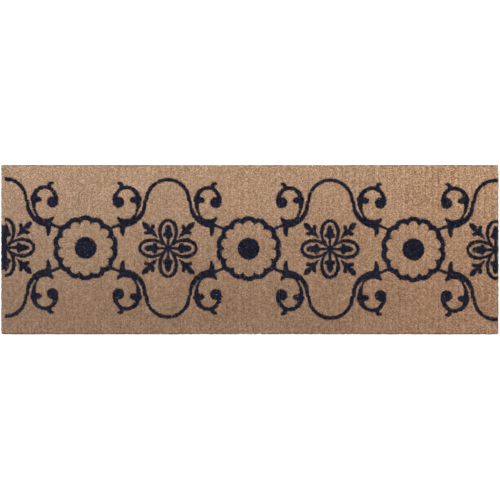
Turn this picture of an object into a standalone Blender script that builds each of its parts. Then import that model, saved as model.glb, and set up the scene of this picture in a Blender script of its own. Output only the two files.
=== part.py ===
"""Hand-woven coir door mat.

Sheared pile rows stand across the mat on a woven ground of chain yarns and one
continuous weft yarn. A cord runs in each long edge, and a stitched braid closes
each short edge. The origin is under the middle of the mat, on the floor.
X runs along the mat, Y across it and Z up.
"""

import math

import bpy

# The whole mat, in metres.
MAT_LENGTH = 1.346
MAT_WIDTH = 0.457
MAT_THICKNESS = 0.032

# The gap that touching pieces keep.
FIT = 0.0003

# The pile: rows across the mat, held in bands of neighbouring rows.
ROW_PITCH = 0.018
BAND_COUNT = 25
ROW_GAP = 0.0026
ROW_SHOULDER = 0.0018
ROW_FOOT = 0.004

# The ground weave under the pile.
WEFT_WIDTH = 0.013
WEFT_THICKNESS = 0.0036
CHAIN_DIAMETER = 0.0037
CHAIN_COUNT = 26

# The whipping yarn that sews on the end braids.
STITCH_DIAMETER = 0.0012
STITCH_PITCH = 0.024
STITCH_POINTS_A_TURN = 10

# Section detail of the round yarns: eight sides, and four on the thin stitching.
YARN_RESOLUTION = 2
STITCH_RESOLUTION = 0

# Heights and places that follow from the sizes above.
GROUND_HEIGHT = WEFT_THICKNESS + FIT + CHAIN_DIAMETER
PILE_BASE = GROUND_HEIGHT + FIT
SELVEDGE_DIAMETER = GROUND_HEIGHT
SELVEDGE_Y = (MAT_WIDTH - SELVEDGE_DIAMETER) / 2
GROUND_HALF_WIDTH = MAT_WIDTH / 2 - SELVEDGE_DIAMETER - FIT
GROUND_HALF_LENGTH = MAT_LENGTH / 2 - GROUND_HEIGHT - FIT
BRAID_X = (MAT_LENGTH - GROUND_HEIGHT) / 2
STITCH_RADIUS = (GROUND_HEIGHT - STITCH_DIAMETER) / 2
STITCH_INNER_RADIUS = STITCH_RADIUS * math.cos(math.pi / STITCH_POINTS_A_TURN) - STITCH_DIAMETER / 2
BRAID_DIAMETER = 2 * (STITCH_INNER_RADIUS - FIT)
ROW_COUNT = round(MAT_LENGTH / ROW_PITCH)
FITTED_PITCH = MAT_LENGTH / ROW_COUNT


def clear_scene():
    for obj in list(bpy.data.objects):
        bpy.data.objects.remove(obj)


def make_material(name, colour, roughness):
    material = bpy.data.materials.new(name)
    material.use_nodes = True
    shader = material.node_tree.nodes["Principled BSDF"]
    shader.inputs["Base Color"].default_value = (*colour, 1.0)
    shader.inputs["Roughness"].default_value = roughness
    shader.inputs["Metallic"].default_value = 0.0
    material.diffuse_color = (*colour, 1.0)
    return material


def make_curve_object(name, points, closed, flat, material, collection):
    """A poly curve through the points, ready to be filled or bevelled."""
    curve = bpy.data.curves.new(name, "CURVE")
    curve.dimensions = "2D" if flat else "3D"
    spline = curve.splines.new("POLY")
    spline.points.add(len(points) - 1)
    for place, point in zip(spline.points, points):
        place.co = (*point, 1.0)
    spline.use_cyclic_u = closed
    curve.materials.append(material)
    obj = bpy.data.objects.new(name, curve)
    collection.objects.link(obj)
    return obj


def make_plate(name, outline, thickness, material, collection):
    """A flat outline in X and Y, given a thickness that is centred on its plane."""
    points = [(x, y, 0.0) for x, y in outline]
    plate = make_curve_object(name, points, True, True, material, collection)
    plate.data.fill_mode = "BOTH"
    plate.data.extrude = thickness / 2
    return plate


def make_yarn(name, points, diameter, resolution, material, collection):
    """A round yarn along the points, with closed ends."""
    yarn = make_curve_object(name, points, False, False, material, collection)
    yarn.data.bevel_depth = diameter / 2
    yarn.data.bevel_resolution = resolution
    yarn.data.use_fill_caps = True
    return yarn


def row_edge(index):
    """The X of the border before this row."""
    return -MAT_LENGTH / 2 + index * FITTED_PITCH


def band_outline(first_row, end_row):
    """Side view of a band of rows in X and Z: square-cut rows on one joined foot."""
    low = row_edge(first_row) + (FIT / 2 if first_row > 0 else 0.0)
    high = row_edge(end_row) - (FIT / 2 if end_row < ROW_COUNT else 0.0)
    foot = PILE_BASE + ROW_FOOT
    shoulder = MAT_THICKNESS - ROW_SHOULDER
    outline = [(high, PILE_BASE), (high, foot)]
    for row in reversed(range(first_row, end_row)):
        left = row_edge(row) + (ROW_GAP / 2 if row > 0 else 0.0)
        right = row_edge(row + 1) - (ROW_GAP / 2 if row + 1 < ROW_COUNT else 0.0)
        outline.append((right, shoulder))
        outline.append((right - ROW_SHOULDER, MAT_THICKNESS))
        outline.append((left + ROW_SHOULDER, MAT_THICKNESS))
        outline.append((left, shoulder))
        if row > first_row:
            outline.append((row_edge(row), foot))
    outline.append((low, foot))
    outline.append((low, PILE_BASE))
    return outline


def make_pile(material, collection):
    """Bands of pile rows, side by side along the mat."""
    for band in range(BAND_COUNT):
        first_row = ROW_COUNT * band // BAND_COUNT
        end_row = ROW_COUNT * (band + 1) // BAND_COUNT
        name = f"pile_rows_{band + 1:02d}"
        outline = band_outline(first_row, end_row)
        rows = make_plate(name, outline, MAT_WIDTH, material, collection)
        rows.rotation_euler = (math.pi / 2, 0.0, 0.0)


def pick_places():
    """The X of each weft pick: one under each row that clears the end braids."""
    centres = [row_edge(row) + FITTED_PITCH / 2 for row in range(ROW_COUNT)]
    reach = GROUND_HALF_LENGTH - WEFT_WIDTH / 2
    return [x for x in centres if abs(x) <= reach]


def weft_route():
    """Centre line of the weft in plan: picks to and fro across the mat."""
    reach = GROUND_HALF_WIDTH - WEFT_WIDTH / 2
    route = []
    for index, x in enumerate(pick_places()):
        side = 1 if index % 2 == 0 else -1
        route += [(x, -side * reach), (x, side * reach)]
    return route


def ribbon_edge(route, offset):
    """The line at this distance to the left of a route that turns at right angles."""
    edge = []
    for index, (x, y) in enumerate(route):
        for end in (index, index + 1):
            if 0 < end < len(route):
                (start_x, start_y), (end_x, end_y) = route[end - 1 : end + 1]
                run = math.hypot(end_x - start_x, end_y - start_y)
                x -= offset * (end_y - start_y) / run
                y += offset * (end_x - start_x) / run
        edge.append((x, y))
    return edge


def make_weft(material, collection):
    """One continuous yarn, laid flat, that goes to and fro under the chain."""
    route = weft_route()
    outline = ribbon_edge(route, WEFT_WIDTH / 2) + ribbon_edge(route, -WEFT_WIDTH / 2)[::-1]
    weft = make_plate("weft_yarn", outline, WEFT_THICKNESS, material, collection)
    weft.location.z = WEFT_THICKNESS / 2


def make_chain(material, collection):
    """Lengthwise yarns between the weft and the pile."""
    spacing = 2 * GROUND_HALF_WIDTH / CHAIN_COUNT
    z = GROUND_HEIGHT - CHAIN_DIAMETER / 2
    for index in range(CHAIN_COUNT):
        y = -GROUND_HALF_WIDTH + (index + 0.5) * spacing
        points = [(-GROUND_HALF_LENGTH, y, z), (GROUND_HALF_LENGTH, y, z)]
        name = f"chain_yarn_{index + 1:02d}"
        make_yarn(name, points, CHAIN_DIAMETER, YARN_RESOLUTION, material, collection)


def make_selvedges(material, collection):
    """A cord in each long edge, outside the turns of the weft."""
    for name, side in (("selvedge_cord_front", -1), ("selvedge_cord_back", 1)):
        y = side * SELVEDGE_Y
        z = SELVEDGE_DIAMETER / 2
        points = [(-MAT_LENGTH / 2, y, z), (MAT_LENGTH / 2, y, z)]
        make_yarn(name, points, SELVEDGE_DIAMETER, YARN_RESOLUTION, material, collection)


def stitch_route(x):
    """A helix round an end braid, from one selvedge to the other."""
    turns = int(2 * GROUND_HALF_WIDTH / STITCH_PITCH)
    count = turns * STITCH_POINTS_A_TURN
    half = GROUND_HALF_WIDTH - STITCH_DIAMETER
    z = GROUND_HEIGHT / 2
    route = []
    for index in range(count + 1):
        angle = 2 * math.pi * index / STITCH_POINTS_A_TURN
        y = half * (2 * index / count - 1)
        route.append((x + STITCH_RADIUS * math.cos(angle), y, z + STITCH_RADIUS * math.sin(angle)))
    return route


def make_ends(braid_material, stitch_material, collection):
    """A braid along each short edge, and the yarn that is whipped round it."""
    for end, side in (("left", -1), ("right", 1)):
        x = side * BRAID_X
        z = GROUND_HEIGHT / 2
        points = [(x, -GROUND_HALF_WIDTH, z), (x, GROUND_HALF_WIDTH, z)]
        name = f"end_braid_{end}"
        make_yarn(name, points, BRAID_DIAMETER, YARN_RESOLUTION, braid_material, collection)
        name = f"end_stitching_{end}"
        route = stitch_route(x)
        make_yarn(name, route, STITCH_DIAMETER, STITCH_RESOLUTION, stitch_material, collection)


def main():
    clear_scene()
    collection = bpy.data.collections.new("door_mat")
    bpy.context.scene.collection.children.link(collection)
    pile = make_material("coir_pile", (0.39, 0.25, 0.155), 0.95)
    chain = make_material("chain_yarn", (0.33, 0.21, 0.12), 0.9)
    weft = make_material("weft_yarn", (0.30, 0.19, 0.11), 0.9)
    selvedge = make_material("selvedge_cord", (0.31, 0.19, 0.11), 0.9)
    braid = make_material("end_braid", (0.29, 0.18, 0.10), 0.9)
    stitch = make_material("stitching_yarn", (0.24, 0.15, 0.09), 0.85)
    make_pile(pile, collection)
    make_weft(weft, collection)
    make_chain(chain, collection)
    make_selvedges(selvedge, collection)
    make_ends(braid, stitch, collection)


main()
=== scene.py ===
"""Visual model of a hand-woven coir door mat in a plain studio.

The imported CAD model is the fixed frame. Each of its solids is replaced by a piece
built here from strands and yarns, in metres, with X along the mat and Z up.
"""

import math

import bpy
import numpy as np
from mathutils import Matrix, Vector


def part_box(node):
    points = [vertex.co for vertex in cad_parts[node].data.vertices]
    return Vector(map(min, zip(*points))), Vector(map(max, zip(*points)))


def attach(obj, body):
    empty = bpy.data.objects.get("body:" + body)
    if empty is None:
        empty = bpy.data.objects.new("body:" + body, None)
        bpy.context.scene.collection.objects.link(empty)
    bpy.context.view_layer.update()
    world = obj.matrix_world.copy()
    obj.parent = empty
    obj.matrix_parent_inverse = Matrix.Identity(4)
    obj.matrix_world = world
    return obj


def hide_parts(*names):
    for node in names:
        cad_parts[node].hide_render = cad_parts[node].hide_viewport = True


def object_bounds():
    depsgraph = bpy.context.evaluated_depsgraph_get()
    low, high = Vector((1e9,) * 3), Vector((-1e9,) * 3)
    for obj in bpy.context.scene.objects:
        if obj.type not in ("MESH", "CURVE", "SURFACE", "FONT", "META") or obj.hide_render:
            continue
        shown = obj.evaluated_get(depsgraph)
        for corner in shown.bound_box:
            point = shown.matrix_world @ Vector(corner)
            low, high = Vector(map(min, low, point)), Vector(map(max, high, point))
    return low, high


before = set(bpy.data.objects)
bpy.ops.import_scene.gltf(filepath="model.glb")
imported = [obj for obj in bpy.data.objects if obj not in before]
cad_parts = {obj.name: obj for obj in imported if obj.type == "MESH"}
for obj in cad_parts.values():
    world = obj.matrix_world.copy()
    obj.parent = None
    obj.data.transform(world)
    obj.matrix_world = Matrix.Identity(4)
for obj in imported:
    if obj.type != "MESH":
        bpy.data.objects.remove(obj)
MAT_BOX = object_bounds()

SEED = 41
MM = 0.001

# Fields of smooth random numbers: cells on a side before they repeat, and cell sizes.
FIELD_CELLS = 256
HEIGHT_CELL = 0.06
OPENNESS_CELL = 0.02
HUE_CELL = 0.009
CLUMP_CELL = 0.0027

# The pile: strands in each row, their thickness, and how the rows spread at the top.
ROWS_A_BAND = 3
STRANDS_ACROSS_ROW = 8
STRAND_SPACING = 0.0023
STRAND_SIDES = 4
SIDE_TURN = 0.35
SIDE_REACH = (0.72, 1.25)
INNER_MARGIN = 0.001
JITTER_ACROSS = 0.38
JITTER_ALONG = 0.42
STRAND_RADIUS = 0.0013
RADIUS_RANGE = (0.75, 1.2)
TIP_TAPER = 0.92
STRAND_ROOT_BELOW_TOP = 0.0105
ROOT_SHARE_OF_ROW = 0.74
TIP_SHARE_OF_ROW = 1.07
TIP_WANDER = 0.0007
TIP_BELOW_TOP = 0.0011
TIP_HEIGHT_SPREAD = 0.001
TIP_RAGGED = 0.42
TIP_HIGHEST = 0.0008
TIP_LOWEST = -0.002
ROW_SHOULDER = 0.0007
PILE_WAVE = 0.0005

# The gaps between the rows: how much of a row they take, and where they stand open.
GAP_SHARE = 0.15
OPEN_EVERYWHERE = 0.1
OPEN_RIGHT = 0.75
OPEN_RIGHT_RAMP = (0.12, 0.52)
OPEN_FRONT = 0.6
OPEN_FRONT_RAMP = (0.15, 0.21)
OPEN_CONTRAST = 1.7

# The strands that stand along the mat's sides, from the ground weave to the top.
EDGE_SPACING = 0.0013
EDGE_HALF_ROW = 0.44  # of the pitch, to each side of a row's middle
EDGE_LAYERS = 5
EDGE_LAYER_DEPTH = 0.0011
EDGE_RADIUS = 0.00105
EDGE_RADIUS_RANGE = (0.6, 1.2)
EDGE_RINGS = 3
EDGE_WANDER = 0.00045
EDGE_INSET = -0.0008
EDGE_DEPTH_SPREAD = (-0.0002, 0.0004)
EDGE_OUTREACH = 0.0014
EDGE_BULGE = 0.0006
EDGE_DROP = 0.0016
EDGE_TIP_LOWEST = -0.003
EDGE_CLEARANCE = 0.0002

# Painted shade of the strands along the sides: the outermost layers (lighter at the back,
# where the light comes from), the inner ones, and the strands between two rows, from this
# share of the way to the border on.
EDGE_SHADE = 0.37
BACK_EDGE_SHADE = 0.54
EDGE_INNER_SHADE = 0.78
EDGE_DARK_LAYERS = 2
ROW_BORDER_SHADE = 0.6
ROW_BORDER_START = 0.7
ROW_BORDER_RAMP = 0.2

# Single coir fibres that stand out of the pile.
STRAYS_A_BAND = 300
STRAY_RADIUS = 0.00016
STRAY_LEAN = 0.0035
STRAY_MARGIN = 0.001
STRAY_TOP = (-0.0006, 0.0012)
STRAY_RINGS = 3

# The share of the ink that each ring of a strand takes, from its root to its tip.
INNER_SOAK = (1.0, 1.0)
EDGE_SOAK = (0.0, 0.1, 1.0)
STRAY_SOAK = (0.0, 1.0, 1.0)

# How widely the tones and hues of single strands differ.
TONE_SHAPE = 1.5
STRAND_TONE = 0.6
CLUMP_TONE = 0.56
HUE_SPREAD = 0.35

# The packed fibre inside each row, which the strands grow from.
CORE_BELOW_TOP = 0.0065
CORE_INSET = 0.0052
CORE_STATION = 0.006
CORE_END_INSET = 0.0045
CORE_ROUGHNESS = 0.0009
CORE_FOOT = 0.0115
CORE_ROW_OUTLINE = ((0.80, 0.0), (0.82, 0.6), (0.76, 0.9), (0.5, 1.0), (0.17, 1.0))
# The core's low tone and its shade are painted shade, deep in the pile where little light reaches.
CORE_TONE = 0.2
CORE_HUE = 0.4
CORE_SHADE = 0.8

# Shares of a band's texture map, and of one strand's cell on it.
CORE_MAP_SHARE = 0.14
CORE_MAP_LENGTH = 0.9
WALL_MAP_SHARE = 0.5
CELL_MARGIN = 0.06

# Ground weave.
WEFT_YARNS = 3
WEFT_YARN_RADIUS = 0.00178
WEFT_LANE_STEP = 2.1 * WEFT_YARN_RADIUS
WEFT_STATION = 0.009
WEFT_TURN_STEPS = 8
WEFT_TURN_SHIFT = 0.004
WEFT_TURN_REACH = 0.003
WEFT_WAVE = 0.0004
CHAIN_YARN_RADIUS = 0.0017
CHAIN_CLEARANCE = 0.0001
CHAIN_DIP = 0.0017
CHAIN_WAVE = 0.0005
CHAIN_STATION = 0.0026
ROPE_PLY_SHARE = 0.54
ROPE_PITCH = 0.021
ROPE_STATION = 0.0022
BRAID_PITCH = 0.017
BRAID_STRANDS = 3
BRAID_STRAND_SHARE = 0.27
BRAID_FLATTENING = 0.75
BRAID_STATION = 0.0011
STITCH_RADIUS = 0.0006
STITCH_TURNS = 18
STITCH_POINTS_A_TURN = 28

# The printed ornament, drawn in millimetres from the middle of a repeat. The mat is
# printed by hand, so the repeats stand a few millimetres off their even places. The
# rosette's rim and hole are lobes (their place and radius) round a disc (its radius).
HALF_REPEAT = 222.0
RIGID_HALF = 100.0
ROSETTE_LOBES = 14
ROSETTE_RIM = (60.0, 28.2, 75.0)
ROSETTE_HOLE = (61.6, 14.4, 61.5)
ROSETTE_DISC = 29.5
PRINT_CENTRES = (-662.0, -445.5, -221.5, -2.8, 217.2, 443.8, 666.7)
PRINT_RISE = 2.3
PRINT_TILT = -0.0049
PRINT_SPREAD = 0.012
PRINT_HALF_LENGTH = 673.0
PRINT_START = -664.0
POOLED_INK_END = -661.0
PRINT_OVERLAP = 9.0
POOLED_INK_HALF_WIDTH = 60.0
PRINT_EDGE_WANDER = 0.3
PRINT_EDGE_BLUR = 1.2
PRINT_SWELL = 0.6
PRINT_MISSES = 0.007
INK_DEPTH = 0.0155
INK_FADE = (-0.003, 0.002)

# Colours of the coir and the ink (position on the ramp, then linear colour).
COIR_TONES = (
    (0.35, 0.124, 0.069, 0.036),
    (0.56, 0.322, 0.200, 0.115),
    (0.72, 0.472, 0.314, 0.193),
    (0.95, 0.680, 0.500, 0.335),
)
COIR_RUST = (0.52, 0.262, 0.118, 1.0)
COIR_GREY = (0.42, 0.36, 0.29, 1.0)
# Painted light at the back and painted shade in front, for the light falling off across the mat.
BACK_PAINTED_LIGHT = (1.03, 1.0, 1.0, 1.0)
FRONT_PAINTED_SHADE = (0.74, 0.68, 0.68, 1.0)
RIGHT_TINT = (1.16, 1.15, 1.14, 1.0)
INK_TONES = (
    (0.40, 0.0022, 0.0030, 0.0078),
    (0.70, 0.0058, 0.0072, 0.0170),
    (0.95, 0.0240, 0.0240, 0.0360),
)
FIBRES_A_METRE = 2000.0

# The grain of the pile: how much each layer of it counts, and its features in a metre.
STRAND_WEIGHT = 0.46
FIBRE_WEIGHT = 0.40
GRAIN_WEIGHT = 0.28
GRAIN_SCALE = 240.0
STREAK_WEIGHT = 0.22
STREAK_SCALE = 280.0
STREAK_SHAPE = (1.0, 0.12, 1.0)
PATCH_WEIGHT = 0.14
PATCH_SCALE = 9.0

# Where the tints of the pile and its painted shade lie, in metres, and how strong they are.
RUST_SHARE = 0.34
GREY_AT_LEFT = 0.24
# From the back to the front the pile turns to painted shade.
FRONT_PAINTED_SHADE_RAMP = (0.19, -0.14)
RIGHT_TINT_RAMP = (0.2, 0.5)
RIGHT_TINT_BACK_RAMP = (0.2, -0.1, 0.4, 1.0)
# Painted shade deeper in the pile, from the height of each point.
DEPTH_SHADE_RAMP = (0.010, 0.027, 0.55, 1.0)
# Painted shade in the gaps between single fibres, from the fibre cells' distance.
FIBRE_GAP_RAMP = (0.25, 0.75, 1.1, 0.35)
PILE_BUMP = 0.0003

# Spun yarn: its fibres along and round it, and the weights of its grooves (painted shade between the
# plies), fibres and patches.
YARN_FIBRES_ALONG = 90.0
YARN_FIBRES_ROUND = 7.0
GROOVE_SHADE_WEIGHT = 0.45
HAIR_WEIGHT = 0.35
YARN_PATCH_WEIGHT = 0.25
YARN_BUMP = 0.0006

# Each yarn's dark and light colour, the length of its twist, and its plies.
WEFT_LOOK = ((0.13, 0.075, 0.04), (0.42, 0.28, 0.17), 0.014, 2)
CHAIN_LOOK = ((0.15, 0.09, 0.05), (0.45, 0.31, 0.19), 0.011, 2)
SELVEDGE_LOOK = ((0.15, 0.09, 0.05), (0.44, 0.29, 0.18), 0.008, 3)
BRAID_LOOK = ((0.14, 0.085, 0.045), (0.40, 0.27, 0.16), 0.006, 3)
STITCHING_LOOK = ((0.11, 0.07, 0.04), (0.34, 0.22, 0.14), 0.004, 2)

# Camera and light.
CAMERA_LENS = 85.0
CAMERA_SENSOR = 36.0
MAT_SHARE_OF_WIDTH = 0.994
CAMERA_OFFSET = (0.0005, -0.0012)
SKY_STRENGTH = 2.2
KEY_POWER = 60.0
KEY_PLACE = (-0.5, 1.5, 2.2)
KEY_SIZE = 1.6
FLOOR_SIZE = 40.0
FLOOR_TONES = ((0.3, 0.93, 0.93, 0.93), (0.7, 0.95, 0.95, 0.95))


# ---------------------------------------------------------------- printed ornament


def arc(centre, radius, start, end, first_width, last_width, steps=14):
    """Points (u, v, half width) of a stroke along an arc. The angles are in degrees."""
    share = np.linspace(0.0, 1.0, steps + 1)
    angle = np.radians(start + (end - start) * share)
    u = centre[0] + radius * np.cos(angle)
    v = centre[1] + radius * np.sin(angle)
    return np.stack([u, v, first_width + (last_width - first_width) * share], axis=1)


def flowing(points, steps=5):
    """A smooth stroke through the points (u, v, half width)."""
    points = np.array(points)
    before = 2 * points[0] - points[1]
    after = 2 * points[-1] - points[-2]
    points = np.vstack([before, points, after])
    made = []
    for index in range(1, len(points) - 2):
        a, b, c, d = points[index - 1 : index + 3]
        for step in range(steps):
            t = step / steps
            bend = 2 * a - 5 * b + 4 * c - d
            turn = 3 * b - a - 3 * c + d
            made.append(b + 0.5 * ((c - a) * t + bend * t**2 + turn * t**3))
    made.append(points[-2])
    return np.array(made)


# One quarter of the scroll: its stem, its curl, and the small leaves on them.
SCROLL_STROKES = (
    arc((222.0, 128.0), 58.2, 90, 178, 4.5, 4.3),
    arc((103.0, 122.0), 56.6, 4, -42, 4.2, 6.2),
    arc((103.0, 122.0), 56.6, -42, -86, 6.2, 8.4),
    flowing([(107, 71, 8.0), (118, 73, 7.0), (129, 81, 4.6), (136.5, 95, 3.0), (141, 106, 4.2)]),
    flowing([(141, 106, 4.2), (142.5, 118, 6), (142, 130, 7), (140.5, 142, 6.8), (135.5, 153, 5.7)]),
    flowing([(135.5, 153, 5.7), (125, 161, 4.9), (110, 164.5, 4.9), (95, 160, 4.9), (86, 151, 5.2)]),
    flowing([(86, 151, 5.2), (81, 141, 5.4), (79.5, 131, 6.0)]),
    flowing([(142.0, 133.0, 10.0), (134.0, 131.5, 8.6), (127.0, 131.0, 7.2)]),
    flowing([(99, 164, 6.2), (98, 170, 5.4), (95, 174.5, 4.8), (89.5, 175.5, 3.6)]),
    flowing([(104, 69, 8.4), (95.5, 75, 6.0), (88.5, 81.5, 3.4)]),
    flowing([(101, 61, 7.6), (100, 50, 6.2), (100.5, 42, 5.0), (101.5, 36, 3.2)]),
    flowing([(99, 64, 7.0), (89.5, 62, 4.1), (80, 58.5, 3.5), (69, 54, 3.8)]),
)
SCROLL_BALL = (89.5, 124.5, 15.0)

# The spray between two petals, along its own axis.
SPRAY_STROKES = (
    np.array([(43.0, 0.0, 1.6), (54.0, 0.0, 4.6), (63.0, 0.0, 7.4)]),
    np.array([(64.0, 0.0, 5.6), (71.5, 13.0, 5.0)]),
    np.array([(66.0, 0.0, 5.0), (76.0, 0.0, 2.4)]),
)


def stroke_distance(u, v, stroke):
    """Distance outside a stroke, negative inside it."""
    nearest = np.full(u.shape, np.inf)
    for (u0, v0, w0), (u1, v1, w1) in zip(stroke[:-1], stroke[1:]):
        du = u1 - u0
        dv = v1 - v0
        t = np.clip(((u - u0) * du + (v - v0) * dv) / (du * du + dv * dv), 0.0, 1.0)
        gap = np.hypot(u - u0 - t * du, v - v0 - t * dv) - (w0 + (w1 - w0) * t)
        nearest = np.minimum(nearest, gap)
    return nearest


def scroll_distance(u, v):
    nearest = np.hypot(u - SCROLL_BALL[0], v - SCROLL_BALL[1]) - SCROLL_BALL[2]
    for stroke in SCROLL_STROKES:
        nearest = np.minimum(nearest, stroke_distance(u, v, stroke))
    return nearest


def rosette_distance(u, v):
    """A scalloped ring round a disc."""
    lobe = 2 * math.pi / ROSETTE_LOBES
    radius = np.hypot(u, v)
    angle = (np.arctan2(u, v) + lobe / 2) % lobe - lobe / 2
    x = radius * np.cos(angle)
    y = radius * np.sin(angle)
    outer, inner = (
        np.minimum(np.hypot(x - place, y) - lobe_radius, radius - ring_radius)
        for place, lobe_radius, ring_radius in (ROSETTE_RIM, ROSETTE_HOLE)
    )
    return np.minimum(np.maximum(outer, -inner), radius - ROSETTE_DISC)


def petal_outline(t, w, length, widest, half_width, power):
    """A petal from the flower's middle outwards: t along it and w across it."""
    above = np.clip((t - widest) / (length - widest), 0.0, 1.0)
    below = np.clip((widest - t) / widest, 0.0, 1.0)
    half = np.where(t > widest, np.sqrt(1.0 - above**2), (1.0 - below**2) ** power)
    inside = (t > 0.0) & (t < length)
    beyond = np.hypot(np.where(t > 0.0, t - length, t), w)
    return np.where(inside, w - half_width * half, beyond)


def petal_distance(t, w):
    """The outer line, the open field inside it, and the bud on its stem."""
    w = np.abs(w)
    outer = petal_outline(t, w, 80.5, 46.0, 27.0, 0.8)
    inner = petal_outline(t, w, 72.0, 42.0, 17.6, 1.3)
    bud = 8.0 * (np.hypot((t - 46.0) / 17.5, w / 8.8) - 1.0)
    bud = np.minimum(bud, np.hypot(t - 36.5, w - 8.2) - 6.2)
    bud = np.minimum(bud, np.hypot(t - 35.0, w) - 8.8)
    stem = np.maximum(w - 3.0 - 0.04 * t, np.maximum(t - 34.0, -t))
    return outer, inner, np.minimum(bud, stem)


def spray_distance(t, w):
    w = np.abs(w)
    leaf = np.maximum(np.hypot(t - 84.5, w + 12.0), np.hypot(t - 84.5, w - 12.0)) - 19.6
    for stroke in SPRAY_STROKES:
        leaf = np.minimum(leaf, stroke_distance(t, w, stroke))
    return leaf


def flower_distance(u, v):
    """Four petals with buds, and a spray between each two."""
    outer_v, inner_v, bud_v = petal_distance(v, u)
    outer_u, inner_u, bud_u = petal_distance(u, v)
    petals = np.maximum(np.minimum(outer_u, outer_v), -np.minimum(inner_u, inner_v))
    nearest = np.minimum(petals, np.minimum(bud_u, bud_v))
    nearest = np.minimum(nearest, np.hypot(u, v) - 6.0)
    along = (u + v) / math.sqrt(2.0)
    across = (u - v) / math.sqrt(2.0)
    return np.minimum(nearest, spray_distance(along, across))


def print_distance(x, y):
    """Distance outside the printed ornament in millimetres, for places in metres."""
    x = x / MM
    y = y / MM
    spread = 1.0 + PRINT_SPREAD * np.clip(x / PRINT_HALF_LENGTH, 0.0, 1.0)
    v = np.abs(y - PRINT_RISE - PRINT_TILT * x) / spread
    nearest = np.full(x.shape, np.inf)
    for index, centre in enumerate(PRINT_CENTRES):
        if index % 2 == 0:
            nearest = np.minimum(nearest, flower_distance(np.abs(x - centre), v))
            continue
        for side in (-1, 1):
            reach = abs(PRINT_CENTRES[index + side] - centre)
            u = (x - centre) * side
            stretch = (HALF_REPEAT - RIGID_HALF) / (reach - RIGID_HALF)
            u = np.where(u > RIGID_HALF, RIGID_HALF + (u - RIGID_HALF) * stretch, u)
            here = (u > -30.0) & (u < HALF_REPEAT + PRINT_OVERLAP)
            u = HALF_REPEAT - np.abs(HALF_REPEAT - u)
            u = u[here]
            found = np.minimum(scroll_distance(u, v[here]), rosette_distance(u, v[here]))
            nearest[here] = np.minimum(nearest[here], found)
    nearest = np.maximum(nearest, PRINT_START - x)
    pooled = np.maximum(x - POOLED_INK_END, v - POOLED_INK_HALF_WIDTH)
    return np.minimum(nearest, pooled)


# ---------------------------------------------------------------- meshes


def build_mesh(name, vertices, faces, maps, smooth):
    """A mesh from index arrays, one for each size of face, with UV maps to match."""
    mesh = bpy.data.meshes.new(name)
    corners = np.concatenate([group.ravel() for group in faces])
    sizes = np.concatenate([np.full(len(group), group.shape[1]) for group in faces])
    starts = np.concatenate([[0], np.cumsum(sizes)[:-1]])
    mesh.vertices.add(len(vertices))
    mesh.loops.add(len(corners))
    mesh.polygons.add(len(sizes))
    mesh.vertices.foreach_set("co", vertices.astype(np.float32).ravel())
    mesh.loops.foreach_set("vertex_index", corners.astype(np.int32))
    mesh.polygons.foreach_set("loop_start", starts.astype(np.int32))
    for map_name, groups in maps.items():
        layer = mesh.uv_layers.new(name=map_name)
        places = np.concatenate([group.reshape(-1, 2) for group in groups])
        layer.uv.foreach_set("vector", places.astype(np.float32).ravel())
    mesh.polygons.foreach_set("use_smooth", np.full(len(sizes), smooth))
    mesh.update(calc_edges=True)
    return mesh


def add_piece(name, mesh, material, nodes):
    """Puts a mesh in the scene in place of these CAD nodes."""
    piece = bpy.data.objects.new(name, mesh)
    bpy.context.scene.collection.objects.link(piece)
    mesh.materials.append(material)
    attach(piece, "root")
    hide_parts(*nodes)
    return piece


def field(x, y, cell, seed):
    """Smooth random numbers from -1 to 1 over the mat, with features of this size."""
    grid = np.random.default_rng(seed).uniform(-1.0, 1.0, (FIELD_CELLS, FIELD_CELLS))
    column = x / cell
    row = y / cell
    left = np.floor(column).astype(int)
    low = np.floor(row).astype(int)
    across = column - left
    up = row - low
    across = across * across * (3.0 - 2.0 * across)
    up = up * up * (3.0 - 2.0 * up)
    right = (left + 1) % FIELD_CELLS
    high = (low + 1) % FIELD_CELLS
    left = left % FIELD_CELLS
    low = low % FIELD_CELLS
    bottom = grid[low, left] * (1 - across) + grid[low, right] * across
    top = grid[high, left] * (1 - across) + grid[high, right] * across
    return bottom * (1 - up) + top * up


# ---------------------------------------------------------------- pile


def strand_solids(centres, radii, rng):
    """Uneven four-sided closed strands through the ring centres, with ragged tips."""
    count, rings = radii.shape
    sides = STRAND_SIDES
    turn = rng.uniform(0.0, 2 * math.pi, count)
    angles = turn[:, None] + np.arange(sides) * 2 * math.pi / sides
    angles = angles + rng.uniform(-SIDE_TURN, SIDE_TURN, (count, sides))
    reach = rng.uniform(*SIDE_REACH, (count, sides))
    ring = [np.cos(angles) * reach, np.sin(angles) * reach, np.zeros_like(angles)]
    ring = np.stack(ring, axis=-1)
    vertices = centres[:, :, None, :] + radii[:, :, None, None] * ring[:, None, :, :]
    ragged = rng.uniform(-TIP_RAGGED, TIP_RAGGED, (count, sides, 3))
    vertices[:, -1] += ragged * radii[:, -1, None, None]
    first = (np.arange(count) * rings * sides)[:, None, None]
    ring_start = np.arange(rings - 1)[:, None] * sides
    side = np.arange(sides)[None, :]
    after = (side + 1) % sides
    upper_start = ring_start + sides
    corners = [ring_start + side, ring_start + after, upper_start + after, upper_start + side]
    walls = np.stack(corners, axis=-1).reshape(-1, sides)
    tip = sides * (rings - 1) + np.arange(sides)
    root = np.arange(sides)[::-1]
    quads = first + np.concatenate([walls, [tip], [root]])[None, :, :]
    return vertices.reshape(-1, 3), quads.reshape(-1, 4)


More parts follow.
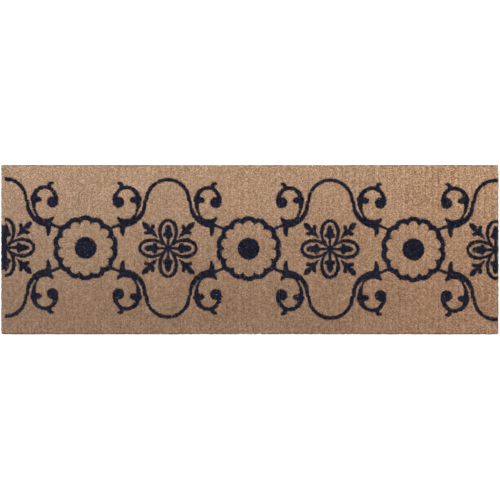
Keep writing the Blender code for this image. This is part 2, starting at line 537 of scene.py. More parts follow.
def strand_maps(first, count, rings, cells):
    """Each strand's place on the band's map: a cell of its own, walls below and ends above."""
    index = first + np.arange(count)
    size = np.array([1.0, 1.0 - CORE_MAP_SHARE]) / cells
    corner = np.stack([index % cells, index // cells], axis=-1) * size
    shapes = []
    for ring in range(rings - 1):
        low = WALL_MAP_SHARE * ring / (rings - 1)
        high = WALL_MAP_SHARE * (ring + 1) / (rings - 1)
        for side in range(STRAND_SIDES):
            left = side / STRAND_SIDES
            right = (side + 1) / STRAND_SIDES
            shapes.append([(left, low), (right, low), (right, high), (left, high)])
    end = WALL_MAP_SHARE + 0.08
    shapes.append([(0.0, end), (0.75, end), (0.75, 1.0), (0.0, 1.0)])
    shapes.append([(0.85, 1.0), (1.0, 1.0), (1.0, end), (0.85, end)])
    shapes = CELL_MARGIN + (1.0 - 2 * CELL_MARGIN) * np.array(shapes)
    return (corner[:, None, None, :] + shapes[None] * size).reshape(-1, 4, 2)


def row_middles(low, high):
    """The X of the middle of each row in a band, and their pitch."""
    pitch = (high.x - low.x) / ROWS_A_BAND
    return low.x + (np.arange(ROWS_A_BAND) + 0.5) * pitch, pitch


def row_openness(x, y):
    """How far the gaps between the rows stand open, from 0 to 1."""
    right = np.interp(x, OPEN_RIGHT_RAMP, (0.0, OPEN_RIGHT))
    front = np.interp(-y, OPEN_FRONT_RAMP, (0.0, OPEN_FRONT))
    patches = 0.5 + 0.5 * field(x, y, OPENNESS_CELL, SEED + 5)
    return np.clip((OPEN_EVERYWHERE + right + front) * OPEN_CONTRAST * patches**2, 0.0, 1.0)


def inner_strands(low, high, rng):
    """Short strands over the whole band, out of the core and up to the cut face.

    Like edge_strands and stray_fibres, it gives the rings' middles, their radii,
    the strands' painted shade, and the share of the ink that each ring takes.
    """
    middles, pitch = row_middles(low, high)
    reach = high.y - low.y - 2 * INNER_MARGIN
    count_y = int(reach / STRAND_SPACING)
    shape = (ROWS_A_BAND, STRANDS_ACROSS_ROW, count_y)
    row, column, line = np.indices(shape).reshape(3, -1)
    number = row.size
    column = column + 0.5 + rng.uniform(-JITTER_ACROSS, JITTER_ACROSS, number)
    line = line + 0.5 + rng.uniform(-JITTER_ALONG, JITTER_ALONG, number)
    across = column / STRANDS_ACROSS_ROW * 2 - 1
    along = line / count_y
    y = low.y + INNER_MARGIN + along * reach
    middle = middles[row]
    root_x = middle + across * ROOT_SHARE_OF_ROW * pitch / 2
    gap = GAP_SHARE * row_openness(middle, y)
    tip_x = middle + across * (TIP_SHARE_OF_ROW - gap) * pitch / 2
    tip_x = tip_x + rng.normal(0.0, TIP_WANDER, number)
    tip_y = y + rng.normal(0.0, TIP_WANDER, number)
    tip_z = high.z - TIP_BELOW_TOP + PILE_WAVE * field(middle, y, HEIGHT_CELL, SEED + 1)
    tip_z = tip_z + rng.normal(0.0, TIP_HEIGHT_SPREAD, number).clip(TIP_LOWEST, TIP_HIGHEST)
    tip_z = tip_z - ROW_SHOULDER * np.abs(across) ** 4
    root = np.stack([root_x, y, np.full(number, high.z - STRAND_ROOT_BELOW_TOP)], axis=-1)
    tip = np.stack([tip_x.clip(low.x, high.x), tip_y.clip(low.y, high.y), tip_z], axis=-1)
    radii = STRAND_RADIUS * rng.uniform(*RADIUS_RANGE, number)
    radii = np.stack([radii, radii * TIP_TAPER], axis=1)
    return np.stack([root, tip], axis=1), radii, 1.0, INNER_SOAK


def at_ends(low, high):
    """Whether a band holds the left end of the mat, and whether it holds the right end."""
    return low.x - MAT_BOX[0].x < MM, MAT_BOX[1].x - high.x < MM


def edge_line(low, high):
    """Places and outward directions of the strands along the sides that don't meet a band."""
    middles, pitch = row_middles(low, high)
    steps = int(pitch / EDGE_SPACING)
    across = (np.arange(steps) + 0.5) / steps * 2 - 1
    x = (middles[:, None] + across * EDGE_HALF_ROW * pitch).ravel()
    places = []
    for y, way in ((low.y, -1.0), (high.y, 1.0)):
        side = np.full(x.size, y)
        places.append(np.stack([x, side, np.zeros(x.size), np.full(x.size, way)], axis=-1))
    for x_end, at_end, way in zip((low.x, high.x), at_ends(low, high), (-1.0, 1.0)):
        if not at_end:
            continue
        count = int((high.y - low.y) / EDGE_SPACING)
        y = low.y + (np.arange(count) + 0.5) / count * (high.y - low.y)
        end = np.full(count, x_end)
        places.append(np.stack([end, y, np.full(count, way), np.zeros(count)], axis=-1))
    return np.concatenate(places)


def edge_reach(low, high):
    """How far the strands' middles may lie: past the mat's own sides, not past the next band."""
    left, right = (EDGE_OUTREACH * at_end for at_end in at_ends(low, high))
    lowest = np.array([low.x - left, low.y - EDGE_OUTREACH])
    highest = np.array([high.x + right, high.y + EDGE_OUTREACH])
    return lowest, highest


def edge_strands(low, high, rng):
    """Long strands in a few layers along the outer sides, bulging out at half height."""
    line = np.repeat(edge_line(low, high), EDGE_LAYERS, axis=0)
    number = len(line)
    layer = np.tile(np.arange(EDGE_LAYERS), number // EDGE_LAYERS)
    depth = EDGE_INSET + EDGE_LAYER_DEPTH * layer
    depth = depth + rng.uniform(*EDGE_DEPTH_SPREAD, number)
    outward = line[:, 2:]
    slide = rng.uniform(-0.5, 0.5, number) * EDGE_SPACING
    place = line[:, :2] - outward * depth[:, None]
    place = place + outward[:, ::-1] * slide[:, None]
    height = np.linspace(0.0, 1.0, EDGE_RINGS)
    ragged = rng.normal(0.0, TIP_HEIGHT_SPREAD, number).clip(EDGE_TIP_LOWEST, TIP_HIGHEST)
    rounding = EDGE_DROP * (1.0 - layer / (EDGE_LAYERS - 1)) ** 2
    top = high.z - TIP_BELOW_TOP + ragged - rounding
    base = low.z + EDGE_CLEARANCE
    z = base + (top[:, None] - base) * height
    wander = rng.normal(0.0, EDGE_WANDER, (number, EDGE_RINGS, 2))
    wander = wander * (0.3 + 0.7 * height)[None, :, None]
    bulge = EDGE_BULGE * np.sin(height * math.pi)[None, :, None] * outward[:, None, :]
    flat = (place[:, None, :] + wander + bulge).clip(*edge_reach(low, high))
    centres = np.concatenate([flat, z[:, :, None]], axis=-1)
    radii = EDGE_RADIUS * rng.uniform(*EDGE_RADIUS_RANGE, number)
    radii = np.repeat(radii[:, None], EDGE_RINGS, axis=1)
    return centres, radii, edge_shade(low, high, place, outward, layer), EDGE_SOAK


def edge_shade(low, high, place, outward, layer):
    """The painted shade of the side strands: darker outside, in front and between the rows."""
    outermost = np.where(outward[:, 1] > 0.0, BACK_EDGE_SHADE, EDGE_SHADE)
    inner = np.clip((layer - EDGE_DARK_LAYERS) / 2, 0.0, 1.0)
    shade = outermost + (EDGE_INNER_SHADE - outermost) * inner
    pitch = row_middles(low, high)[1]
    border = np.abs(2.0 * ((place[:, 0] - low.x) / pitch % 1.0) - 1.0)
    between_rows = np.clip((border - ROW_BORDER_START) / ROW_BORDER_RAMP, 0.0, 1.0)
    return shade * (1.0 - ROW_BORDER_SHADE * np.abs(outward[:, 1]) * between_rows)


def stray_fibres(low, high, rng):
    """Thin single fibres that lean out of the cut face."""
    number = STRAYS_A_BAND
    x = rng.uniform(low.x + STRAY_MARGIN, high.x - STRAY_MARGIN, number)
    y = rng.uniform(low.y + STRAY_MARGIN, high.y - STRAY_MARGIN, number)
    angle = rng.uniform(0.0, 2 * math.pi, number)
    lean = STRAY_LEAN * rng.uniform(0.3, 1.0, number)
    height = np.linspace(0.0, 1.0, STRAY_RINGS)
    direction = np.stack([np.cos(angle), np.sin(angle)], axis=-1)[:, None, :]
    shift = direction * (lean[:, None] * height**2)[:, :, None]
    flat = np.stack([x, y], axis=-1)[:, None, :] + shift
    top = high.z + rng.uniform(*STRAY_TOP, number)
    base = high.z - STRAND_ROOT_BELOW_TOP
    z = base + (top[:, None] - base) * height
    radii = np.full((number, STRAY_RINGS), STRAY_RADIUS)
    return np.concatenate([flat, z[:, :, None]], axis=-1), radii, 1.0, STRAY_SOAK


def core_profile(low, high):
    """Outline of the packed fibre in X and Z: rounded rows on a joined foot."""
    middles, pitch = row_middles(low, high)
    top = high.z - CORE_BELOW_TOP
    foot = low.z + CORE_FOOT
    points = [(high.x, low.z), (high.x, foot)]
    for middle in middles[::-1]:
        for share, rise in CORE_ROW_OUTLINE:
            points.append((middle + share * pitch / 2, foot + rise * (top - foot)))
        for share, rise in CORE_ROW_OUTLINE[::-1]:
            points.append((middle - share * pitch / 2, foot + rise * (top - foot)))
    points.append((low.x, foot))
    points.append((low.x, low.z))
    return np.array(points)


def core_shell(low, high, rng):
    """The profile drawn out across the mat, closed at both ends, with uneven faces."""
    profile = core_profile(low, high)
    stations = int((high.y - low.y) / CORE_STATION)
    y = np.linspace(low.y + CORE_INSET, high.y - CORE_INSET, stations)
    left, right = (CORE_END_INSET * at_end for at_end in at_ends(low, high))
    count = len(profile)
    x = profile[:, 0].clip(low.x + left, high.x - right)
    places = np.empty((stations, count, 3))
    places[:, :, 0] = x + rng.normal(0.0, CORE_ROUGHNESS / 3, (stations, count))
    places[:, :, 0] = places[:, :, 0].clip(low.x, high.x)
    places[:, :, 1] = y[:, None]
    above_foot = (profile[:, 1] > low.z + CORE_FOOT + MM).astype(float)
    uneven = above_foot * rng.normal(0.0, CORE_ROUGHNESS, (stations, count))
    places[:, :, 2] = profile[:, 1] + uneven
    ring = np.arange(stations - 1)[:, None] * count
    step = np.arange(count)[None, :]
    after = (step + 1) % count
    corners = [ring + step, ring + count + step, ring + count + after, ring + after]
    quads = np.stack(corners, axis=-1).reshape(-1, 4)
    ends = np.stack([np.arange(count), (stations - 1) * count + np.arange(count)[::-1]])
    return places.reshape(-1, 3), quads, ends, *core_maps(profile, stations, count)


def core_maps(profile, stations, count):
    """The core's part of the band's map: its sides as one sheet, then its two ends."""
    base = 1.0 - CORE_MAP_SHARE
    along = np.arange(stations) / (stations - 1) * CORE_MAP_LENGTH
    around = base + np.arange(count + 1) / count * CORE_MAP_SHARE
    shape = (stations - 1, count)
    left = np.broadcast_to(along[:-1, None], shape)
    right = np.broadcast_to(along[1:, None], shape)
    low = np.broadcast_to(around[None, :-1], shape)
    high = np.broadcast_to(around[None, 1:], shape)
    quads = np.stack([left, low, right, low, right, high, left, high], axis=-1)
    unit = (profile - profile.min(axis=0)) / np.ptp(profile, axis=0)
    end_u = 0.91 + 0.04 * unit[:, 0]
    end_v = base + CORE_MAP_SHARE * (0.05 + 0.9 * unit[:, 1])
    end = np.stack([end_u, end_v], axis=-1)
    other = end[::-1] + np.array([0.045, 0.0])
    return quads.reshape(-1, 4, 2), np.stack([end, other])


def fibre_numbers(tone, ink, hue, shade, each):
    """Tone, ink, hue and painted shade of each strand for its vertices, for the pile's material."""
    return np.repeat(np.stack([tone, ink, hue, shade], axis=-1), each, axis=0)


def ink_on(x, y, rng):
    """How much ink the pile carries at these places, from 0 to 1."""
    gap = print_distance(x, y)
    gap = gap + rng.normal(0.0, PRINT_EDGE_WANDER, x.shape)
    ink = np.clip(0.5 - (gap - PRINT_SWELL) / PRINT_EDGE_BLUR, 0.0, 1.0)
    missed = rng.uniform(0.0, 1.0, x.shape) < PRINT_MISSES
    return np.where(missed, ink * rng.uniform(0.2, 0.8, x.shape), ink)


def strand_numbers(centres, shade, soaked, rng):
    """Tone, ink, hue and painted shade for the vertices of these strands."""
    x = centres[:, -1, 0]
    y = centres[:, -1, 1]
    own = STRAND_TONE * (rng.beta(TONE_SHAPE, TONE_SHAPE, len(x)) - 0.5)
    tone = 0.5 + own + CLUMP_TONE * field(x, y, CLUMP_CELL, SEED + 3)
    own = HUE_SPREAD * rng.uniform(-1.0, 1.0, len(x))
    hue = 0.5 + own + HUE_SPREAD * field(x, y, HUE_CELL, SEED + 2)
    ink = ink_on(x, y, rng)
    numbers = fibre_numbers(tone, ink, hue, shade * np.ones(len(x)), len(soaked) * STRAND_SIDES)
    numbers[:, 1] *= np.tile(np.repeat(soaked, STRAND_SIDES), len(x))
    return numbers


def make_band(number, material):
    """One band of pile rows: its core and its strands, as closed shells in one mesh."""
    node = f"pile_rows_{number:02d}"
    low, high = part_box(node)
    rng = np.random.default_rng(SEED * 1000 + number)
    groups = [make(low, high, rng) for make in (inner_strands, edge_strands, stray_fibres)]
    cells = math.ceil(math.sqrt(sum(len(group[0]) for group in groups)))
    vertices, core_quads, core_ends, core_quad_map, core_end_map = core_shell(low, high, rng)
    core_ink = ink_on(vertices[:, 0], vertices[:, 1], rng)
    same = np.ones(len(vertices))
    # The core takes a low tone and a painted shade, as it lies deep in the pile.
    numbers = [fibre_numbers(CORE_TONE * same, core_ink, CORE_HUE * same, CORE_SHADE * same, 1)]
    points = [vertices]
    quads = [core_quads]
    quad_maps = [core_quad_map]
    placed = 0
    start = len(vertices)
    for centres, radii, shade, soaked in groups:
        solid, faces = strand_solids(centres, radii, rng)
        points.append(solid)
        quads.append(start + faces)
        quad_maps.append(strand_maps(placed, len(centres), len(soaked), cells))
        numbers.append(strand_numbers(centres, shade, soaked, rng))
        placed += len(centres)
        start += len(solid)
    faces = [np.concatenate(quads), core_ends]
    maps = {"OFBake": [np.concatenate(quad_maps), core_end_map]}
    mesh = build_mesh(f"coir_{node}", np.concatenate(points), faces, maps, False)
    layer = mesh.attributes.new("fibre", "FLOAT_COLOR", "POINT")
    layer.data.foreach_set("color", np.concatenate(numbers).astype(np.float32).ravel())
    piece = add_piece(f"coir_{node}", mesh, material, [node])


# ---------------------------------------------------------------- yarns


def tube(path, radius, sides):
    """Rings of points round a path that never runs upright, and the length along it."""
    path = np.asarray(path)
    along = np.gradient(path, axis=0)
    along /= np.linalg.norm(along, axis=1, keepdims=True)
    across = np.cross([0.0, 0.0, 1.0], along)
    across /= np.linalg.norm(across, axis=1, keepdims=True)
    up = np.cross(along, across)
    angle = (np.arange(sides) * 2 * math.pi / sides)[None, :, None]
    ring = across[:, None, :] * np.cos(angle) + up[:, None, :] * np.sin(angle)
    steps = np.linalg.norm(np.diff(path, axis=0), axis=1)
    return path[:, None, :] + radius * ring, np.concatenate([[0.0], np.cumsum(steps)])


def yarn_mesh(name, paths, radius, sides, map_rows):
    """Closed yarns of one thickness in one mesh.

    Its map "Yarn" holds metres along the yarn and turns round it. Its map "OFBake"
    lays the yarns out in rows, like lines of text.
    """
    points = []
    quads = []
    ends = []
    yarn_map = []
    bake_map = []
    end_yarn_map = []
    end_bake_map = []
    start = 0
    step = np.arange(sides)[None, :]
    after = (step + 1) % sides
    turn = np.arange(sides + 1) / sides
    angle = 2 * math.pi * turn[:-1]
    ring_shape = np.stack([np.cos(angle), np.sin(angle)], axis=-1)
    end_size = 0.4 * np.array([1 / max(len(paths), 20), 1 / (map_rows + 1)])
    for index, path in enumerate(paths):
        rings, length = tube(path, radius, sides)
        stations = len(rings)
        ring = start + np.arange(stations - 1)[:, None] * sides
        corners = [ring + step, ring + after, ring + sides + after, ring + sides + step]
        quads.append(np.stack(corners, axis=-1).reshape(-1, 4))
        last = start + (stations - 1) * sides
        ends += [start + np.arange(sides)[::-1], last + np.arange(sides)]
        points.append(rings.reshape(-1, 3))
        yarn_map.append(grid_map(length[:-1], length[1:], turn[:-1], turn[1:]))
        place = (index + length / length[-1]) / len(paths) * map_rows * 0.9999
        row = np.floor(place[:-1])
        left = 0.01 + 0.97 * (place[:-1] - row)
        right = 0.01 + 0.97 * (place[1:] - row)
        around = 0.08 + 0.84 * turn
        cell = grid_map(left, right, around[:-1], around[1:])
        cell[:, :, 1] += np.repeat(row, sides)[:, None]
        cell[:, :, 1] /= map_rows + 1
        bake_map.append(cell)
        middle = np.array([(index + 0.5) / len(paths), (map_rows + 0.5) / (map_rows + 1)])
        round_end = middle + ring_shape * end_size
        end_bake_map += [round_end[::-1], round_end]
        end_yarn_map += [ring_shape[::-1] * radius, ring_shape * radius]
        start += len(points[-1])
    faces = [np.concatenate(quads), np.array(ends)]
    maps = {
        "Yarn": [np.concatenate(yarn_map), np.array(end_yarn_map)],
        "OFBake": [np.concatenate(bake_map), np.array(end_bake_map)],
    }
    return build_mesh(name, np.concatenate(points), faces, maps, True)


def grid_map(u0, u1, v0, v1):
    """Corner places of a grid of quads, in the order that a tube's quads have."""
    shape = (len(u0), len(v0))
    left = np.broadcast_to(u0[:, None], shape)
    right = np.broadcast_to(u1[:, None], shape)
    low = np.broadcast_to(v0[None, :], shape)
    high = np.broadcast_to(v1[None, :], shape)
    return np.stack([left, low, left, high, right, high, right, low], axis=-1).reshape(-1, 4, 2)


def make_weft(material):
    """Three yarns side by side that go to and fro across the mat, in rounded turns."""
    low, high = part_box("weft_yarn")
    width = weft_width()
    pitch = mat_row_pitch()
    picks = round((high.x - low.x - width) / pitch) + 1
    first = low.x + width / 2
    reach = high.y - width / 2
    z = (low.z + high.z) / 2
    paths = []
    for lane in range(WEFT_YARNS):
        offset = (lane - (WEFT_YARNS - 1) / 2) * WEFT_LANE_STEP
        paths.append(weft_path(first, picks, pitch, reach, offset, z))
    mesh = yarn_mesh("coir_weft_yarn", paths, WEFT_YARN_RADIUS, sides=7, map_rows=110)
    add_piece("coir_weft_yarn", mesh, material, ["weft_yarn"])


def weft_path(first, picks, pitch, reach, offset, z):
    """The route of one lane, this far to the side of the middle of the ribbon."""
    points = []
    turn = reach - pitch / 2 + WEFT_TURN_SHIFT
    steps = int(2 * turn / WEFT_STATION)
    for pick in range(picks):
        x = first + pick * pitch
        way = 1.0 if pick % 2 == 0 else -1.0
        side = offset * way
        for step in range(steps + 1):
            y = way * turn * (2 * step / steps - 1)
            wave = WEFT_WAVE * math.sin(y * 90.0 + pick + offset * 900.0)
            points.append((x - side + wave, y, z))
        if pick + 1 == picks:
            break
        radius = pitch / 2 + side
        outwards = min(radius, pitch / 2 + WEFT_TURN_REACH)
        for step in range(1, WEFT_TURN_STEPS):
            angle = math.pi * step / WEFT_TURN_STEPS
            turn_x = x + pitch / 2 - radius * math.cos(angle)
            turn_y = way * (turn + outwards * math.sin(angle))
            points.append((turn_x, turn_y, z))
    return np.array(points)


def weft_width():
    """Width of one pick: what the weft's box is longer than its even spacing."""
    low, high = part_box("weft_yarn")
    pitch = mat_row_pitch()
    picks = math.floor((high.x - low.x) / pitch) + 1
    return (high.x - low.x) - (picks - 1) * pitch


def mat_row_pitch():
    """The pitch of the pile rows over the whole mat."""
    bands = [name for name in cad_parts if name.startswith("pile_rows_")]
    return (MAT_BOX[1].x - MAT_BOX[0].x) / (len(bands) * ROWS_A_BAND)


def make_chain(material):
    """The lengthwise yarns. Each dips a little between the picks that it crosses."""
    names = sorted(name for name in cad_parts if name.startswith("chain_yarn_"))
    pitch = mat_row_pitch()
    paths = []
    for index, name in enumerate(names):
        low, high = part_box(name)
        count = int((high.x - low.x) / CHAIN_STATION)
        x = np.linspace(low.x, high.x, count)
        middle = high.z - CHAIN_YARN_RADIUS - CHAIN_CLEARANCE
        between = 0.5 - 0.5 * np.cos(2 * math.pi * x / pitch)
        z = middle - CHAIN_DIP * between**6
        y = (low.y + high.y) / 2 + CHAIN_WAVE * np.sin(x * 70.0 + index * 1.7)
        paths.append(np.stack([x, y, z], axis=-1))
    mesh = yarn_mesh("coir_chain_yarns", paths, CHAIN_YARN_RADIUS, sides=6, map_rows=52)
    add_piece("coir_chain_yarns", mesh, material, names)


def make_selvedges(material):
    """Two-ply ropes in the long edges."""
    for name in ("selvedge_cord_front", "selvedge_cord_back"):
        low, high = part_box(name)
        half = (high.z - low.z) / 2
        ply = half * ROPE_PLY_SHARE
        x = np.arange(low.x, high.x, ROPE_STATION)
        paths = []
        for start in (0.0, math.pi):
            angle = 2 * math.pi * x / ROPE_PITCH + start
            y = (low.y + high.y) / 2 + (half - ply) * np.cos(angle)
            z = (low.z + high.z) / 2 + (half - ply) * np.sin(angle)
            paths.append(np.stack([x, y, z], axis=-1))
        mesh = yarn_mesh(f"coir_{name}", paths, ply, sides=10, map_rows=8)
        add_piece(f"coir_{name}", mesh, material, [name])


def make_braids(material):
    """A three-strand plait along each short edge."""
    for name in ("end_braid_left", "end_braid_right"):
        low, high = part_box(name)
        half = (high.z - low.z) / 2
        strand = 2 * half * BRAID_STRAND_SHARE
        swing = half - strand
        y = np.arange(low.y, high.y, BRAID_STATION)
        paths = []
        for start in range(BRAID_STRANDS):
            angle = 2 * math.pi * (y / BRAID_PITCH + start / BRAID_STRANDS)
            x = (low.x + high.x) / 2 + swing * np.sin(angle)
            z = (low.z + high.z) / 2 + swing * BRAID_FLATTENING * np.sin(2 * angle)
            paths.append(np.stack([x, y, z], axis=-1))
        mesh = yarn_mesh(f"coir_{name}", paths, strand, sides=8, map_rows=8)
        add_piece(f"coir_{name}", mesh, material, [name])


def make_stitching(material):
    """The thin yarn whipped round each plait."""
    for name in ("end_stitching_left", "end_stitching_right"):
        low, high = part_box(name)
        half = (high.z - low.z) / 2 - STITCH_RADIUS
        share = np.linspace(0.0, 1.0, STITCH_TURNS * STITCH_POINTS_A_TURN)
        angle = 2 * math.pi * STITCH_TURNS * share
        x = (low.x + high.x) / 2 + half * np.cos(angle)
        y = low.y + STITCH_RADIUS + share * (high.y - low.y - 2 * STITCH_RADIUS)
        z = (low.z + high.z) / 2 + half * np.sin(angle)
        path = np.stack([x, y, z], axis=-1)
        mesh = yarn_mesh(f"yarn_{name}", [path], STITCH_RADIUS, sides=6, map_rows=6)
        add_piece(f"yarn_{name}", mesh, material, [name])


# ---------------------------------------------------------------- materials


def add_node(tree, kind, inputs, **settings):
    """A node whose inputs are set to numbers, or linked from other nodes' sockets."""
    node = tree.nodes.new("ShaderNode" + kind)
    for name, value in settings.items():
        setattr(node, name, value)
    for key, value in inputs.items():
        if isinstance(value, bpy.types.NodeSocket):
            tree.links.new(value, node.inputs[key])
        else:
            node.inputs[key].default_value = value
    return node


def calculate(tree, operation, a, b=0.0):
    return add_node(tree, "Math", {0: a, 1: b}, operation=operation).outputs[0]


def remap(tree, value, from_low, from_high, to_low, to_high):
    inputs = {0: value, 1: from_low, 2: from_high, 3: to_low, 4: to_high}
    return add_node(tree, "MapRange", inputs, clamp=True).outputs[0]


def mixed(tree, factor, a, b, blend="MIX"):
    inputs = {0: factor, 6: a, 7: b}
    return add_node(tree, "Mix", inputs, data_type="RGBA", blend_type=blend).outputs[2]


def noise(tree, vector, scale, detail=3.0, stretch=(1.0, 1.0, 1.0)):
    place = add_node(tree, "Mapping", {"Vector": vector, "Scale": stretch}).outputs[0]
    return add_node(tree, "TexNoise", {"Vector": place, "Scale": scale, "Detail": detail}).outputs["Fac"]


def ramp(tree, value, stops):
    """A colour ramp through the stops (position, red, green, blue)."""
    node = add_node(tree, "ValToRGB", {0: value})
    elements = node.color_ramp.elements
    for position, *colour in stops[1:-1]:
        elements.new(position).color = (*colour, 1.0)
    for element, (position, *colour) in zip(elements, stops):
        element.position = position
        element.color = (*colour, 1.0)
    return node.outputs[0]


def new_material(name, specular):
    """A material with a lone Principled node, and that node."""
    material = bpy.data.materials.new(name)
    material.use_nodes = True
    shader = material.node_tree.nodes["Principled BSDF"]
    shader.inputs["Specular IOR Level"].default_value = specular
    return material, material.node_tree, shader


def finish_material(tree, shader, colour, roughness, height, depth):
    bump = add_node(tree, "Bump", {"Height": height, "Strength": 0.6, "Distance": depth})
    tree.links.new(colour, shader.inputs["Base Color"])
    tree.links.new(roughness, shader.inputs["Roughness"])
    tree.links.new(bump.outputs[0], shader.inputs["Normal"])


def pile_material():
    """Sheared coir: bundles of single fibres with tones of their own, and ink on the top."""
    material, tree, shader = new_material("coir_pile", 0.04)
    place = add_node(tree, "TexCoord", {}).outputs["Object"]
    axes = add_node(tree, "SeparateXYZ", {0: place}).outputs
    fibre = add_node(tree, "Attribute", {}, attribute_name="fibre").outputs
    tone, ink, hue = add_node(tree, "SeparateColor", {0: fibre["Color"]}).outputs
    ends = single_fibres(tree, place)
    level = weighted(
        tree,
        (tone, STRAND_WEIGHT),
        (ends["Color"], FIBRE_WEIGHT),
        (noise(tree, place, GRAIN_SCALE), GRAIN_WEIGHT),
        (noise(tree, place, STREAK_SCALE, stretch=STREAK_SHAPE), STREAK_WEIGHT),
        (noise(tree, place, PATCH_SCALE), PATCH_WEIGHT),
    )
    coir = tinted(tree, ramp(tree, level, COIR_TONES), hue, axes)
    # Painted shade: darker deeper in the pile, in the gaps between single fibres, and by each strand's
    # shade number.
    depth = remap(tree, axes["Z"], *DEPTH_SHADE_RAMP)
    between = remap(tree, ends["Distance"], *FIBRE_GAP_RAMP)
    shade = calculate(tree, "MULTIPLY", depth, between)
    shade = calculate(tree, "MULTIPLY", shade, fibre["Alpha"])
    coir = mixed(tree, 1.0, coir, grey(tree, shade), "MULTIPLY")
    fade_low, fade_high = (MAT_BOX[1].z - INK_DEPTH + height for height in INK_FADE)
    reach = remap(tree, axes["Z"], fade_low, fade_high, 0.0, 1.0)
    inked = calculate(tree, "MULTIPLY", ink, reach)
    colour = mixed(tree, inked, coir, ramp(tree, level, INK_TONES))
    roughness = remap(tree, ends["Distance"], 0.1, 0.8, 0.82, 0.98)
    finish_material(tree, shader, colour, roughness, between, PILE_BUMP)
    return material


def tinted(tree, coir, hue, axes):
    """The slow changes of colour over the mat: rust in places, greyer left, darker in front as painted
    shade, brighter at the right.
    """
    coir = mixed(tree, calculate(tree, "MULTIPLY", hue, RUST_SHARE), coir, COIR_RUST)
    greyer = remap(tree, axes["X"], MAT_BOX[0].x, MAT_BOX[1].x, GREY_AT_LEFT, 0.0)
    coir = mixed(tree, greyer, coir, COIR_GREY)
    # Painted shade in front and painted light at the back.
    front = remap(tree, axes["Y"], *FRONT_PAINTED_SHADE_RAMP, 0.0, 1.0)
    front_painted_shade = mixed(tree, front, BACK_PAINTED_LIGHT, FRONT_PAINTED_SHADE)
    coir = mixed(tree, 1.0, coir, front_painted_shade, "MULTIPLY")
    right = remap(tree, axes["X"], *RIGHT_TINT_RAMP, 0.0, 1.0)
    towards_front = remap(tree, axes["Y"], *RIGHT_TINT_BACK_RAMP)
    right = calculate(tree, "MULTIPLY", right, towards_front)
    return mixed(tree, right, coir, RIGHT_TINT, "MULTIPLY")


def single_fibres(tree, place):
    """Cells as fine as coir fibres, drawn out along Z: round on a cut face, streaks on a side."""
    drawn = add_node(tree, "Mapping", {"Vector": place, "Scale": (1.0, 1.0, 0.06)}).outputs[0]
    return add_node(tree, "TexVoronoi", {"Vector": drawn, "Scale": FIBRES_A_METRE}).outputs


def weighted(tree, *parts):
    """The sum of values, each times its weight."""
    total = 0.0
    for value, weight in parts:
        total = calculate(tree, "ADD", total, calculate(tree, "MULTIPLY", value, weight))
    return total


def grey(tree, value):
    return add_node(tree, "CombineColor", {0: value, 1: value, 2: value}).outputs[0]


def yarn_material(name, dark, light, pitch, plies):
    """Spun coir: twisted plies with painted shade in the grooves between them, and hairy fibre in them.
    """
    material, tree, shader = new_material(name, 0.1)
    place = add_node(tree, "TexCoord", {}).outputs["Object"]
    yarn = add_node(tree, "UVMap", {}, uv_map="Yarn").outputs[0]
    axes = add_node(tree, "SeparateXYZ", {0: yarn}).outputs
    turns = calculate(tree, "MULTIPLY", axes["Y"], plies)
    twist = calculate(tree, "ADD", turns, calculate(tree, "DIVIDE", axes["X"], pitch))
    wave = calculate(tree, "SINE", calculate(tree, "MULTIPLY", twist, 2 * math.pi))
    # Painted shade: the grooves between the plies darker than their crowns.
    crown = remap(tree, wave, -1.0, 0.6, 0.0, 1.0)
    along = calculate(tree, "MULTIPLY", axes["X"], YARN_FIBRES_ALONG)
    around = calculate(tree, "MULTIPLY", twist, YARN_FIBRES_ROUND)
    lines = add_node(tree, "CombineXYZ", {0: around, 1: along}).outputs[0]
    hair = weighted(tree, (noise(tree, lines, 1.6), 0.7), (noise(tree, place, 1100.0), 0.3))
    patch = noise(tree, place, 45.0, 2.0)
    level = weighted(tree, (crown, GROOVE_SHADE_WEIGHT), (hair, HAIR_WEIGHT), (patch, YARN_PATCH_WEIGHT))
    middle = tuple((a + b) / 2 for a, b in zip(dark, light))
    colour = ramp(tree, level, ((0.15, *dark), (0.5, *middle), (0.9, *light)))
    roughness = remap(tree, hair, 0.3, 0.7, 0.8, 0.96)
    height = weighted(tree, (crown, 1.0), (hair, 0.5))
    finish_material(tree, shader, colour, roughness, height, YARN_BUMP)
    return material


def floor_material():
    material, tree, shader = new_material("studio_floor", 0.1)
    place = add_node(tree, "TexCoord", {}).outputs["Object"]
    tint = noise(tree, place, 2.0)
    colour = ramp(tree, tint, FLOOR_TONES)
    roughness = remap(tree, tint, 0.3, 0.7, 0.75, 0.85)
    finish_material(tree, shader, colour, roughness, tint, 0.0001)
    return material


# ---------------------------------------------------------------- studio


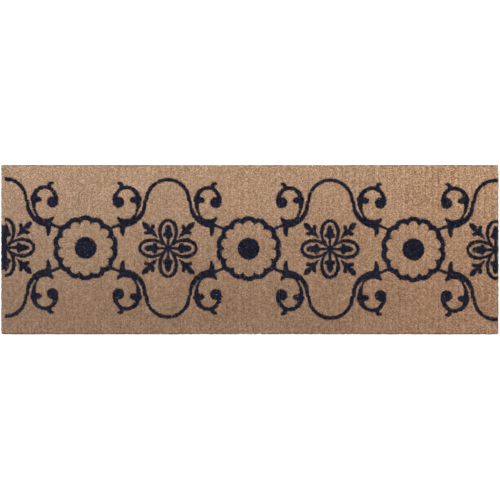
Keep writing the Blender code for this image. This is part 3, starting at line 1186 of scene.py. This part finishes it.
def make_floor():
    """A flat pale floor under the mat."""
    half = FLOOR_SIZE / 2
    corners = [(-half, -half, 0.0), (half, -half, 0.0), (half, half, 0.0), (-half, half, 0.0)]
    mesh = bpy.data.meshes.new("floor")
    mesh.from_pydata(corners, [], [(0, 1, 2, 3)])
    mesh.materials.append(floor_material())
    floor = bpy.data.objects.new("floor", mesh)
    bpy.context.scene.collection.objects.link(floor)


def make_lights():
    """An even white sky, and a large soft light beyond the mat's far edge."""
    world = bpy.data.worlds.new("studio")
    world.use_nodes = True
    sky = world.node_tree.nodes["Background"]
    sky.inputs["Color"].default_value = (1.0, 1.0, 1.0, 1.0)
    sky.inputs["Strength"].default_value = SKY_STRENGTH
    bpy.context.scene.world = world
    data = bpy.data.lights.new("key", "AREA")
    data.energy = KEY_POWER
    data.size = KEY_SIZE
    key = bpy.data.objects.new("key", data)
    key.location = KEY_PLACE
    key.rotation_euler = (-key.location).to_track_quat("-Z", "Y").to_euler()
    bpy.context.scene.collection.objects.link(key)


def make_camera():
    """Straight above the mat, with its length almost filling the picture."""
    low, high = MAT_BOX
    data = bpy.data.cameras.new("camera")
    data.lens = CAMERA_LENS
    data.sensor_width = CAMERA_SENSOR
    camera = bpy.data.objects.new("camera", data)
    distance = (high.x - low.x) / MAT_SHARE_OF_WIDTH * CAMERA_LENS / CAMERA_SENSOR
    x = (low.x + high.x) / 2 + CAMERA_OFFSET[0]
    y = (low.y + high.y) / 2 + CAMERA_OFFSET[1]
    camera.location = (x, y, high.z + distance)
    bpy.context.scene.collection.objects.link(camera)
    bpy.context.scene.camera = camera


def main():
    bpy.context.scene.view_settings.view_transform = "Standard"
    pile = pile_material()
    bands = sum(name.startswith("pile_rows_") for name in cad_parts)
    for number in range(1, bands + 1):
        make_band(number, pile)
    make_weft(yarn_material("coir_weft", *WEFT_LOOK))
    make_chain(yarn_material("coir_chain", *CHAIN_LOOK))
    make_selvedges(yarn_material("coir_selvedge", *SELVEDGE_LOOK))
    make_braids(yarn_material("coir_braid", *BRAID_LOOK))
    make_stitching(yarn_material("stitching_yarn", *STITCHING_LOOK))
    make_floor()
    make_lights()
    make_camera()


main()
